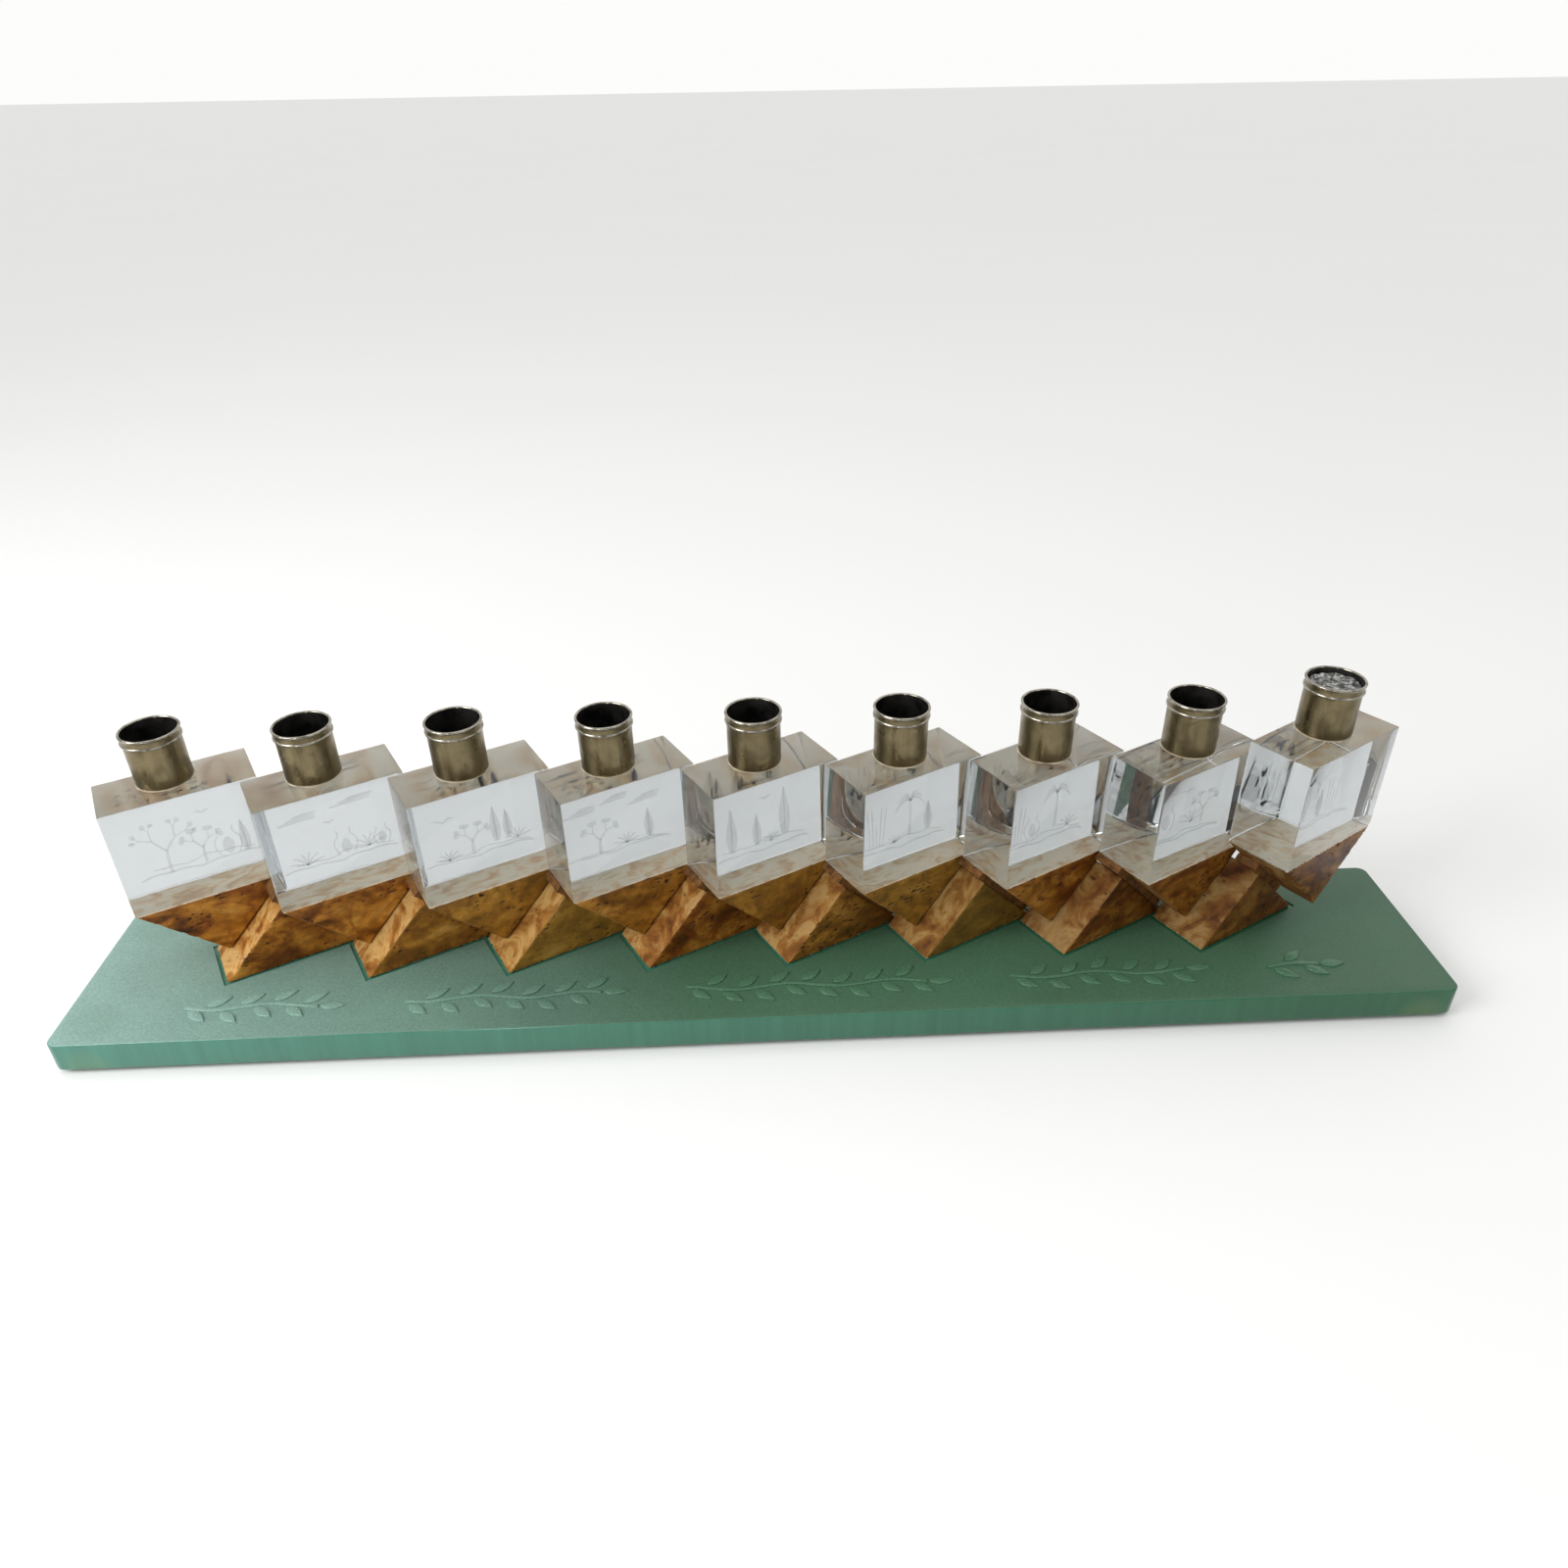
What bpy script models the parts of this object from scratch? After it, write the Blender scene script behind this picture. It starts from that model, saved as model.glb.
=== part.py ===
"""Nine-light menorah: stone wedges, clear blocks and metal candle cups on a frosted glass plate.

Eight stone wedges lie ridge up on the plate, side by side and turned, so that they touch like a
zigzag fence. Nine more lie ridge down in the valleys between them. Each of those carries a clear
block, and each block a metal cup. The ninth light stands higher than the rest.

The origin is the middle of the underside of the feet, +X along the plate, +Y to the back, +Z up.
"""
import math

import bmesh
import bpy
from mathutils import Matrix, Vector

MM = 0.001
GAP = 0.3 * MM                          # free space between pieces that rest on each other

# Layout of the row
PITCH = 41.4 * MM                       # from one light to the next
TURN = math.radians(29.0)               # turn of each light about the vertical
ROW_SKEW = math.radians(-0.45)          # the row runs a touch askew to the plate
ROW_BACK = 11.0 * MM                    # the row's middle stands this far behind the plate's middle
LOWER_COUNT = 8
UPPER_COUNT = 9

# Glass plate and its feet
PLATE_SIZE = Vector((400.0, 60.0, 9.3)) * MM
PLATE_CORNER = 3.0 * MM
PLATE_ARRIS = 0.5 * MM
FOOT_RADIUS = 4.0 * MM
FOOT_HEIGHT = 1.2 * MM
FOOT_INSET = Vector((10.0, 8.5)) * MM   # a foot's centre, in from the plate's end and long side
PLATE_BOTTOM = FOOT_HEIGHT + GAP
PLATE_TOP = PLATE_BOTTOM + PLATE_SIZE.z

# Stone wedges: right-angled prisms, as high as half their width
WEDGE_DEPTH = 19.7 * MM
LOWER_WIDTH = 41.2 * MM
UPPER_WIDTH = 40.8 * MM
SEAT_DEPTH = 0.4 * MM                   # shallow seat in the glass that the lower wedges stand in
SEAT_MARGIN = 0.8 * MM
UPPER_SHIFT = 1.3 * MM                  # the upper wedges lean on the face to their right

# Clear blocks and cups; along the row the cups drift from the left of their blocks to the right
BLOCK_SIZE = Vector((40.8, 19.7, 33.6)) * MM
CUP_MIDDLE = Vector((0.0, 2.7)) * MM    # the middle cup, off its block's centre
CUP_DRIFT = Vector((0.45, -0.15)) * MM  # what each next cup adds to that
CUP_HEIGHT = 15.8 * MM
CUP_BODY_RADIUS = 7.65 * MM
CUP_RIM_RADIUS = 8.15 * MM
CUP_BORE_RADIUS = 7.25 * MM
CUP_FLOOR = 0.8 * MM
CUP_BEAD_DROP = 2.7 * MM                # the bead's middle, below the rim
CUP_SEGMENTS = 28
WAX_TOP_DROP = 1.4 * MM                 # the burnt-out wax in the ninth cup, below the rim

# The ninth light
SERVANT_PLACE = Vector((161.0, 5.8)) * MM
SERVANT_TURN = math.radians(32.5)
SERVANT_RISE = 6.9 * MM

# Raised sprigs along the front of the plate, one after another with the same space between
SPRIG_STEPS = (10, 14, 17, 13, 5)       # how many leaf steps long each one is
SPRIG_ROW_START = -166.0 * MM
SPRIG_SPACE = 16.6 * MM
SPRIG_LINE = -17.0 * MM
SPRIG_RISE = 0.5 * MM
STEM_WIDTH = 1.3 * MM
STEM_WAVE = 1.0 * MM
STEM_WAVELENGTH = 30.0 * MM
LEAF_LENGTH = 7.4 * MM
LEAF_WIDTH = 3.2 * MM
LEAF_STEP = 4.6 * MM                    # leaves grow on the two sides in turn
LEAF_SPREAD = math.radians(36.0)
LEAF_CLEARANCE = 0.5 * MM               # flat glass between a leaf and its stem


def principled(name, color, roughness, metallic=0.0, transmission=0.0):
    material = bpy.data.materials.new(name)
    material.use_nodes = True
    shader = material.node_tree.nodes["Principled BSDF"]
    shader.inputs["Base Color"].default_value = (*color, 1.0)
    shader.inputs["Roughness"].default_value = roughness
    shader.inputs["Metallic"].default_value = metallic
    shader.inputs["Transmission Weight"].default_value = transmission
    material.diffuse_color = (*color, 1.0)
    return material


def add_object(name, mesh, material, location=(0, 0, 0), turn=0.0, parent=None):
    if not mesh.materials:
        mesh.materials.append(material)
    piece = bpy.data.objects.new(name, mesh)
    bpy.context.scene.collection.objects.link(piece)
    piece.location = location
    piece.rotation_euler = (0.0, 0.0, turn)
    piece.parent = parent
    return piece


def add_empty(name, location, turn):
    holder = bpy.data.objects.new(name, None)
    bpy.context.scene.collection.objects.link(holder)
    holder.location = location
    holder.rotation_euler = (0.0, 0.0, turn)
    return holder


def finish_mesh(name, bm):
    bmesh.ops.recalc_face_normals(bm, faces=bm.faces)
    mesh = bpy.data.meshes.new(name)
    bm.to_mesh(mesh)
    bm.free()
    return mesh


def box_mesh(name, size):
    """A box that stands on z = 0, centred on the Z axis."""
    bm = bmesh.new()
    place = Matrix.Translation((0, 0, size.z / 2)) @ Matrix.Diagonal((*size, 1.0))
    bmesh.ops.create_cube(bm, size=1.0, matrix=place)
    return finish_mesh(name, bm)


def wedge_mesh(name, width, depth, ridge_up):
    """A triangular prism with a right-angled ridge along Y; its flat face is width across."""
    height = width / 2
    flat, ridge = (0.0, height) if ridge_up else (height, 0.0)
    bm = bmesh.new()
    outline = [(-width / 2, flat), (width / 2, flat), (0.0, ridge)]
    face = bm.faces.new([bm.verts.new((x, -depth / 2, z)) for x, z in outline])
    extruded = bmesh.ops.extrude_face_region(bm, geom=[face])
    far_side = [v for v in extruded["geom"] if isinstance(v, bmesh.types.BMVert)]
    bmesh.ops.translate(bm, verts=far_side, vec=(0, depth, 0))
    return finish_mesh(name, bm)


def turned_mesh(name, profile, segments):
    """A solid turned about Z from a profile of (radius, height) that starts and ends on the axis."""
    bm = bmesh.new()
    points = [bm.verts.new((r, 0.0, z)) for r, z in profile]
    edges = [bm.edges.new(pair) for pair in zip(points, points[1:])]
    bmesh.ops.spin(bm, geom=points + edges, cent=(0, 0, 0), axis=(0, 0, 1),
                   angle=math.tau, steps=segments, use_merge=True)
    bmesh.ops.remove_doubles(bm, verts=bm.verts, dist=0.00001)
    mesh = finish_mesh(name, bm)
    mesh.shade_smooth()
    mesh.set_sharp_from_angle(angle=math.radians(35.0))
    return mesh


def cup_profile():
    """Thin-walled cup: a flat foot, a straight body, a bead, a plain band and a rolled rim."""
    bead = CUP_HEIGHT - CUP_BEAD_DROP
    band_radius = CUP_BODY_RADIUS + 0.15 * MM
    half_bead = 0.45 * MM
    roll = 0.7 * MM
    return [
        (0.0, 0.0), (CUP_BODY_RADIUS - 0.4 * MM, 0.0), (CUP_BODY_RADIUS, 0.5 * MM),
        (CUP_BODY_RADIUS, bead - half_bead), (CUP_RIM_RADIUS, bead), (band_radius, bead + half_bead),
        (band_radius, CUP_HEIGHT - roll), (CUP_RIM_RADIUS, CUP_HEIGHT - roll / 2),
        (CUP_RIM_RADIUS - 0.3 * MM, CUP_HEIGHT), (CUP_BORE_RADIUS + 0.2 * MM, CUP_HEIGHT),
        (CUP_BORE_RADIUS, CUP_HEIGHT - 0.3 * MM),
        (CUP_BORE_RADIUS, CUP_FLOOR), (0.0, CUP_FLOOR),
    ]


def wax_profile():
    """The lump of old wax: it fills the cup and dips in the middle."""
    radius = CUP_BORE_RADIUS - GAP
    top = CUP_HEIGHT - WAX_TOP_DROP
    floor = CUP_FLOOR + GAP
    return [(0.0, floor), (radius, floor), (radius, top), (radius * 0.6, top - 0.5 * MM),
            (0.0, top - 0.8 * MM)]


def seat_outline():
    """The staircase that the lower wedges' feet make together, widened by the margin, in row axes."""
    half_width = LOWER_WIDTH / 2 + SEAT_MARGIN
    half_depth = WEDGE_DEPTH / 2 + SEAT_MARGIN
    near, far = [], []
    for x, y in lower_places_in_row_axes():
        near.append((x - half_width, y + half_depth if not near else near[-1][1]))
        near.append((x - half_width, y - half_depth))
        if far:
            far.append((far[-1][0], y + half_depth))
        far.append((x + half_width, y + half_depth))
    far.append((far[-1][0], near[-1][1]))
    return near + far[::-1]


def lower_places_in_row_axes():
    step = Matrix.Rotation(ROW_SKEW - TURN, 2) @ Vector((PITCH, 0.0))
    first = -(LOWER_COUNT - 1) / 2
    return [(first + k) * step for k in range(LOWER_COUNT)]


def row_place(steps):
    """A point on the row's line, counted in lights from its middle."""
    along = Matrix.Rotation(ROW_SKEW, 2) @ Vector((PITCH, 0.0))
    return Vector((0.0, ROW_BACK)) + steps * along


def extruded_mesh(name, outlines, low, high):
    """One closed prism for each outline, from low to high."""
    bm = bmesh.new()
    for outline in outlines:
        face = bm.faces.new([bm.verts.new((x, y, low)) for x, y in outline])
        extruded = bmesh.ops.extrude_face_region(bm, geom=[face])
        upper = [v for v in extruded["geom"] if isinstance(v, bmesh.types.BMVert)]
        bmesh.ops.translate(bm, verts=upper, vec=(0, 0, high - low))
    return finish_mesh(name, bm)


def stem_height(x):
    return STEM_WAVE * math.sin(math.tau * x / STEM_WAVELENGTH)


def stem_outline(start, end):
    steps = max(4, round((end - start) / (STEM_WAVELENGTH / 8)))
    xs = [start + (end - start) * i / steps for i in range(steps + 1)]
    near = [(x, SPRIG_LINE + stem_height(x) - STEM_WIDTH / 2) for x in xs]
    far = [(x, SPRIG_LINE + stem_height(x) + STEM_WIDTH / 2) for x in reversed(xs)]
    return near + far


def leaf_outline(root, angle):
    """A pointed leaf that grows from root along angle."""
    sides = 5
    lower = [(i / sides, -math.sin(math.pi * (i / sides) ** 0.85)) for i in range(sides)]
    upper = [(1 - i / sides, math.sin(math.pi * (1 - i / sides) ** 0.85)) for i in range(sides)]
    turn = Matrix.Rotation(angle, 2)
    points = [Vector((u * LEAF_LENGTH, v * LEAF_WIDTH / 2)) for u, v in lower + upper]
    return [tuple(root + turn @ point) for point in points]


def sprig_outlines(start, end):
    """A wavy stem, with leaves on both sides in turn and one at its tip."""
    stem_end = end - LEAF_LENGTH - LEAF_CLEARANCE
    outlines = [stem_outline(start, stem_end)]
    count = int((stem_end - start) / LEAF_STEP)
    for i in range(count):
        x = start + (i + 0.3) * LEAF_STEP
        side = 1 if i % 2 else -1
        away = STEM_WIDTH / 2 + LEAF_CLEARANCE
        root = Vector((x, SPRIG_LINE + stem_height(x) + side * away))
        outlines.append(leaf_outline(root, side * LEAF_SPREAD))
    tip = Vector((stem_end + LEAF_CLEARANCE, SPRIG_LINE + stem_height(stem_end)))
    outlines.append(leaf_outline(tip, 0.0))
    return outlines


def add_cutter(name, mesh, location=(0, 0, 0), turn=0.0):
    cutter = bpy.data.objects.new(name, mesh)
    bpy.context.scene.collection.objects.link(cutter)
    cutter.location = location
    cutter.rotation_euler = (0.0, 0.0, turn)
    cutter.hide_render = True
    cutter.display_type = "WIRE"
    return cutter


def plate_mesh():
    """The slab with rounded corners and a fine arris round its top and bottom."""
    bm = bmesh.new()
    bmesh.ops.create_cube(bm, size=1.0, matrix=Matrix.Diagonal((*PLATE_SIZE, 1.0)))
    upright = [e for e in bm.edges if abs(e.verts[0].co.z - e.verts[1].co.z) > PLATE_SIZE.z / 2]
    bmesh.ops.bevel(bm, geom=upright, offset=PLATE_CORNER, segments=5, profile=0.5, affect="EDGES")
    half = PLATE_SIZE.z / 2
    level = [e for e in bm.edges
             if abs(e.verts[0].co.z - e.verts[1].co.z) < 0.01 * MM
             and abs(abs(e.verts[0].co.z) - half) < 0.01 * MM]
    bmesh.ops.bevel(bm, geom=level, offset=PLATE_ARRIS, segments=1, affect="EDGES")
    bmesh.ops.translate(bm, verts=bm.verts, vec=(0, 0, PLATE_BOTTOM + half))
    return finish_mesh("base_plate", bm)


def add_plate(glass):
    plate = add_object("base_plate", plate_mesh(), glass)
    seat_floor = PLATE_TOP - SEAT_DEPTH
    seats = add_cutter("seat_cutter",
                       extruded_mesh("seat_cutter", [seat_outline()], 0.0, 2 * SEAT_DEPTH),
                       (0.0, ROW_BACK, seat_floor), TURN)
    outlines = []
    start = SPRIG_ROW_START
    for steps in SPRIG_STEPS:
        end = start + steps * LEAF_STEP
        outlines += sprig_outlines(start, end)
        start = end + SPRIG_SPACE
    relief = add_cutter("sprig_shape",
                        extruded_mesh("sprig_shape", outlines, PLATE_TOP - SPRIG_RISE,
                                      PLATE_TOP + SPRIG_RISE))
    for shape, operation in ((seats, "DIFFERENCE"), (relief, "UNION")):
        modifier = plate.modifiers.new(shape.name, "BOOLEAN")
        modifier.object = shape
        modifier.operation = operation
        modifier.solver = "EXACT"


def add_feet(rubber):
    profile = [(0.0, 0.0), (FOOT_RADIUS - 0.2 * MM, 0.0), (FOOT_RADIUS, 0.3 * MM),
               (FOOT_RADIUS, FOOT_HEIGHT), (0.0, FOOT_HEIGHT)]
    mesh = turned_mesh("foot_pad", profile, 20)
    for depth_name, back in (("front", -1), ("back", 1)):
        for side_name, side in (("left", -1), ("right", 1)):
            x = side * (PLATE_SIZE.x / 2 - FOOT_INSET.x)
            y = back * (PLATE_SIZE.y / 2 - FOOT_INSET.y)
            add_object(f"foot_pad_{depth_name}_{side_name}", mesh, rubber, (x, y, 0.0))


def add_lower_wedges(stone):
    bottom = PLATE_TOP - SEAT_DEPTH + GAP
    mesh = wedge_mesh("lower_wedge", LOWER_WIDTH, WEDGE_DEPTH, ridge_up=True)
    for k in range(LOWER_COUNT):
        place = row_place(k - (LOWER_COUNT - 1) / 2)
        add_object(f"lower_wedge_{k + 1}", mesh, stone, (*place, bottom), TURN)


def upper_ridge_height():
    """Where an upper wedge's downward ridge comes to rest, leaning on the face to its right."""
    lower_ridge = PLATE_TOP - SEAT_DEPTH + GAP + LOWER_WIDTH / 2
    across = PITCH / 2 * math.cos(TURN - ROW_SKEW) - UPPER_SHIFT
    return lower_ridge - across + GAP * math.sqrt(2.0)


def add_lights(stone, crystal, nickel, wax):
    """The nine stacks, each on an empty at its downward ridge: wedge, block and cup."""
    wedge = wedge_mesh("upper_wedge", UPPER_WIDTH, WEDGE_DEPTH, ridge_up=False)
    block = box_mesh("crystal_block", BLOCK_SIZE)
    cup = turned_mesh("candle_cup", cup_profile(), CUP_SEGMENTS)
    block_bottom = UPPER_WIDTH / 2 + GAP
    cup_bottom = block_bottom + BLOCK_SIZE.z + GAP
    ridge = upper_ridge_height()
    shift = Matrix.Rotation(TURN, 2) @ Vector((UPPER_SHIFT, 0.0))
    for k in range(UPPER_COUNT):
        place, turn, height = row_place(k - (UPPER_COUNT - 1) / 2) + shift, TURN, ridge
        if k == UPPER_COUNT - 1:
            place, turn, height = SERVANT_PLACE, SERVANT_TURN, ridge + SERVANT_RISE
        light = add_empty(f"light_{k + 1}", (*place, height), turn)
        add_object(f"upper_wedge_{k + 1}", wedge, stone, parent=light)
        add_object(f"crystal_block_{k + 1}", block, crystal, (0, 0, block_bottom), parent=light)
        off_centre = CUP_MIDDLE + CUP_DRIFT * (k - (UPPER_COUNT - 1) / 2)
        cup_place = (*off_centre, cup_bottom)
        add_object(f"candle_cup_{k + 1}", cup, nickel, cup_place, parent=light)
    lump = turned_mesh("wax_residue", wax_profile(), CUP_SEGMENTS)
    add_object("wax_residue", lump, wax, cup_place, parent=light)


def main():
    for old in list(bpy.data.objects):
        bpy.data.objects.remove(old, do_unlink=True)
    glass = principled("frosted green glass", (0.27, 0.42, 0.34), 0.45, transmission=0.6)
    rubber = principled("amber rubber", (0.42, 0.30, 0.10), 0.6)
    stone = principled("golden travertine", (0.36, 0.21, 0.08), 0.5)
    crystal = principled("clear acrylic", (0.95, 0.96, 0.96), 0.03, transmission=1.0)
    nickel = principled("satin nickel", (0.42, 0.39, 0.32), 0.3, metallic=1.0)
    wax = principled("sooty wax", (0.34, 0.34, 0.32), 0.6)
    add_plate(glass)
    add_feet(rubber)
    add_lower_wedges(stone)
    add_lights(stone, crystal, nickel, wax)


main()
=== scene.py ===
"""Nine-light menorah: weathered stone, clear blocks, frosted glass plate and nickel cups.

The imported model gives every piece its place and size. Each operator below makes one piece, or one
group of like pieces, around it, and the last one sets the stage: floor, lights and camera.
"""

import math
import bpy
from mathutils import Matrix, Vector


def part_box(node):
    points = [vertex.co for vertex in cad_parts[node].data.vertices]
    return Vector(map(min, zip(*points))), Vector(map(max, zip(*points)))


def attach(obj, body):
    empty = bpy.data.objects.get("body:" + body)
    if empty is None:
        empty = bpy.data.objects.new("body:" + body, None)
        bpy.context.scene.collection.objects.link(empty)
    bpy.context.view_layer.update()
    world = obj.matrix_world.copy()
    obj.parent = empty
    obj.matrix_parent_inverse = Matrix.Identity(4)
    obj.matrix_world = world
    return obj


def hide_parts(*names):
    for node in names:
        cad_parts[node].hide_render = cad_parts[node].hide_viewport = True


bl_info = {
    "name": "Nine-Light Menorah",
    "version": (1, 0, 0),
    "blender": (4, 5, 0),
    "location": "3D View > Sidebar > Menorah",
    "description": "Builds the finished pieces of a stone, glass and nickel menorah",
    "category": "Add Mesh",
}

import bmesh
import bpy
from bpy.props import FloatProperty, FloatVectorProperty, IntProperty, PointerProperty
from mathutils import Matrix, Vector, noise

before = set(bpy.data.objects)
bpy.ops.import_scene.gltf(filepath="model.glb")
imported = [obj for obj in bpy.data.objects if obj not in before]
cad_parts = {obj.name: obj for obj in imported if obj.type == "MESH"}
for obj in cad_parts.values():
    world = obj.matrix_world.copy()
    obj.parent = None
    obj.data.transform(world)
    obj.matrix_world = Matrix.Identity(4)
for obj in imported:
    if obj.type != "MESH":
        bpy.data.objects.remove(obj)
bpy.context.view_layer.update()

MM = 0.001
LIGHTS = 9
LOWER_WEDGES = 8
GAP = 0.3 * MM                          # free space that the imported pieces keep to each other
SAME = 0.01 * MM                        # points and heights this close are the same
FLAT_ANGLE = math.radians(0.5)          # faces that meet at less are one flat face
FEET = [f"foot_pad_{row}_{side}" for row in ("front", "back") for side in ("left", "right")]


def linear(hex_colour):
    """An sRGB hex colour as the linear numbers that shaders use."""
    parts = [int(hex_colour[i:i + 2], 16) / 255 for i in (1, 3, 5)]
    return tuple(p / 12.92 if p <= 0.04045 else ((p + 0.055) / 1.055) ** 2.4 for p in parts)


# ---------------------------------------------------------------- settings

def length(name, default, description):
    return FloatProperty(name=name, default=default, unit="LENGTH", description=description)


def colour(name, hex_colour, description):
    return FloatVectorProperty(name=name, default=linear(hex_colour), size=3, subtype="COLOR",
                               description=description)


class StoneSettings(bpy.types.PropertyGroup):
    grain: length("Grain", 0.42 * MM, "Edge length of the faces that carry the stone's unevenness")
    pit_depth: length("Pit depth", 0.4 * MM, "Depth of the natural holes in the travertine")
    chip_depth: length("Chip depth", 0.32 * MM, "Depth of the small chips along the sawn edges")
    honey: colour("Honey", "#a56a20", "Main colour of the polished end faces")
    sawn: colour(
        "Sawn", "#ab7a3c", "Middle colour of the sawn slopes, which are marbled lighter and darker")
    # Bedded is painted near-white: painted light for the light that reaches these faces through the
    # clear blocks
    bedded: colour("Bedded", "#fdeccf", "Colour of the flat faces that are glued under the blocks")


class BlockSettings(bpy.types.PropertyGroup):
    arris: length("Arris", 0.3 * MM, "Width of the polished rounding along the blocks' edges")
    tint: colour("Tint", "#d3d7da", "Colour of the light that the clear blocks let through")
    etching: colour("Etching", "#85887f", "Colour of the scenes etched inside the blocks")
    etching_depth: length(
        "Etching depth", 1.3 * MM, "How far in front of a block's back face its scene lies")


class PlateSettings(bpy.types.PropertyGroup):
    corner: length("Corner", 3.0 * MM, "Radius of the plate's upright corners")
    arris: length("Arris", 0.5 * MM, "Width of the ground edge round the plate's top and underside")
    relief_round: length(
        "Relief rounding", 0.3 * MM, "Rounding along the upper edge of the raised sprigs")
    # The top's change from frosted at the left-hand end to deep is painted light: the key lamp's falloff
    # along the plate
    frosted: colour(
        "Frosted", "#79968e", "Colour of the sandblasted top where it is most worn and milky")
    deep: colour("Deep", "#3b5c45", "Colour of the sandblasted top where it is least worn")
    # The edge's change from edge at the left-hand end to the deep edge at the right-hand end is painted
    # shade: the key lamp's falloff along the plate
    edge: colour("Edge", "#477e6e", "Colour of the polished edge at the left-hand end")
    edge_shaded_end: colour("Deep edge", "#1f5839", "Colour of the polished edge at the right-hand end")


class CupSettings(bpy.types.PropertyGroup):
    sides: IntProperty(
        name="Sides", default=96, min=24,
        description="Number of faces round a cup")
    nickel: colour("Nickel", "#766b51", "Colour of the cups' tarnished plating")
    rim: colour("Rim", "#a5a094", "Colour of the rolled rim and the bead")


class StageSettings(bpy.types.PropertyGroup):
    floor: colour("Floor", "#e4e4e3", "Colour of the floor")
    lens: FloatProperty(
        name="Lens", default=26.24,
        description="Focal length of the camera, in millimetres")


# ---------------------------------------------------------------- modelling helpers

def deselect_all():
    bpy.ops.object.select_all(action="DESELECT")


def take(piece):
    """Makes piece the only selected object and the active one."""
    deselect_all()
    piece.select_set(True)
    bpy.context.view_layer.objects.active = piece


def edit():
    bpy.ops.object.mode_set(mode="EDIT")


def leave_edit():
    bpy.ops.object.mode_set(mode="OBJECT")


def pick(kind, test):
    """In edit mode, selects the vertices, edges or faces that pass the test, and nothing else."""
    bpy.ops.mesh.select_mode(type=kind)
    bpy.ops.mesh.select_all(action="DESELECT")
    mesh = bpy.context.edit_object.data
    bm = bmesh.from_edit_mesh(mesh)
    for element in {"VERT": bm.verts, "EDGE": bm.edges, "FACE": bm.faces}[kind]:
        if test(element):
            element.select_set(True)
    bmesh.update_edit_mesh(mesh)


def bevel_all(piece, width, segments):
    take(piece)
    edit()
    bpy.ops.mesh.select_all(action="SELECT")
    bpy.ops.mesh.bevel(offset=width, segments=segments, affect="EDGES")
    leave_edit()


def thicken(shift):
    """In edit mode, draws all faces out by shift, so that they become closed bodies."""
    bpy.ops.mesh.select_all(action="SELECT")
    bpy.ops.mesh.extrude_region_move(TRANSFORM_OT_translate={"value": shift})
    bpy.ops.mesh.select_all(action="SELECT")
    bpy.ops.mesh.normals_make_consistent(inside=False)


def keep_modifier(piece, name, kind, **settings):
    """Adds a modifier with these settings and applies it."""
    take(piece)
    modifier = piece.modifiers.new(name, kind)
    for key, value in settings.items():
        setattr(modifier, key, value)
    bpy.ops.object.modifier_apply(modifier=name)


def copy_of_node(node, name):
    """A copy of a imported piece, with its loose triangles merged into whole faces."""
    piece = bpy.data.objects.new(name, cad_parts[node].data.copy())
    piece.data.name = name
    piece.data.materials.clear()
    bpy.context.scene.collection.objects.link(piece)
    take(piece)
    bpy.ops.mesh.customdata_custom_splitnormals_clear()
    edit()
    bpy.ops.mesh.select_all(action="SELECT")
    bpy.ops.mesh.remove_doubles(threshold=SAME)
    bpy.ops.mesh.dissolve_limited(angle_limit=FLAT_ANGLE)
    leave_edit()
    return piece


def primitive(name, add, **settings):
    """A new mesh primitive, named, as the only selected object."""
    deselect_all()
    add(**settings)
    piece = bpy.context.active_object
    piece.name = name
    piece.data.name = name
    return piece


def add_box(name, size, centre):
    piece = primitive(name, bpy.ops.mesh.primitive_cube_add, size=1.0, location=centre, scale=size)
    bpy.ops.object.transform_apply(location=True, rotation=True, scale=True)
    return piece


def copy_moved(pattern, name, offset):
    """A copy of a piece with its own mesh, moved by offset in its mesh."""
    piece = bpy.data.objects.new(name, pattern.data.copy())
    piece.data.name = name
    bpy.context.scene.collection.objects.link(piece)
    piece.data.transform(Matrix.Translation(offset))
    return piece


def turned(name, outline, sides):
    """A round solid about the Z axis: a disc that is extruded ring by ring along (radius, height)."""
    (radius, height), *rings = outline
    piece = primitive(name, bpy.ops.mesh.primitive_circle_add, vertices=sides, radius=radius,
                      fill_type="NGON", location=(0.0, 0.0, height))
    bpy.ops.object.transform_apply(location=True, rotation=False, scale=False)
    edit()
    bpy.ops.mesh.select_mode(type="EDGE")
    bpy.ops.mesh.select_all(action="SELECT")
    for next_radius, next_height in rings:
        bpy.ops.mesh.extrude_edges_move(
            TRANSFORM_OT_translate={"value": (0.0, 0.0, next_height - height)})
        scale = next_radius / radius
        bpy.ops.transform.resize(value=(scale, scale, 1.0),
                                 center_override=(0.0, 0.0, next_height))
        radius, height = next_radius, next_height
    bpy.ops.mesh.edge_face_add()
    bpy.ops.mesh.select_all(action="SELECT")
    bpy.ops.mesh.normals_make_consistent(inside=False)
    leave_edit()
    return piece


def arc(centre, radius, start, end, steps):
    """Points of (radius, height) along a round part of an outline; the angles are in degrees."""
    angles = [math.radians(start + (end - start) * i / steps) for i in range(steps + 1)]
    return [(centre[0] + radius * math.cos(a), centre[1] + radius * math.sin(a)) for a in angles]


def smooth(piece, angle=40.0):
    take(piece)
    bpy.ops.object.shade_smooth_by_angle(angle=math.radians(angle))


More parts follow.
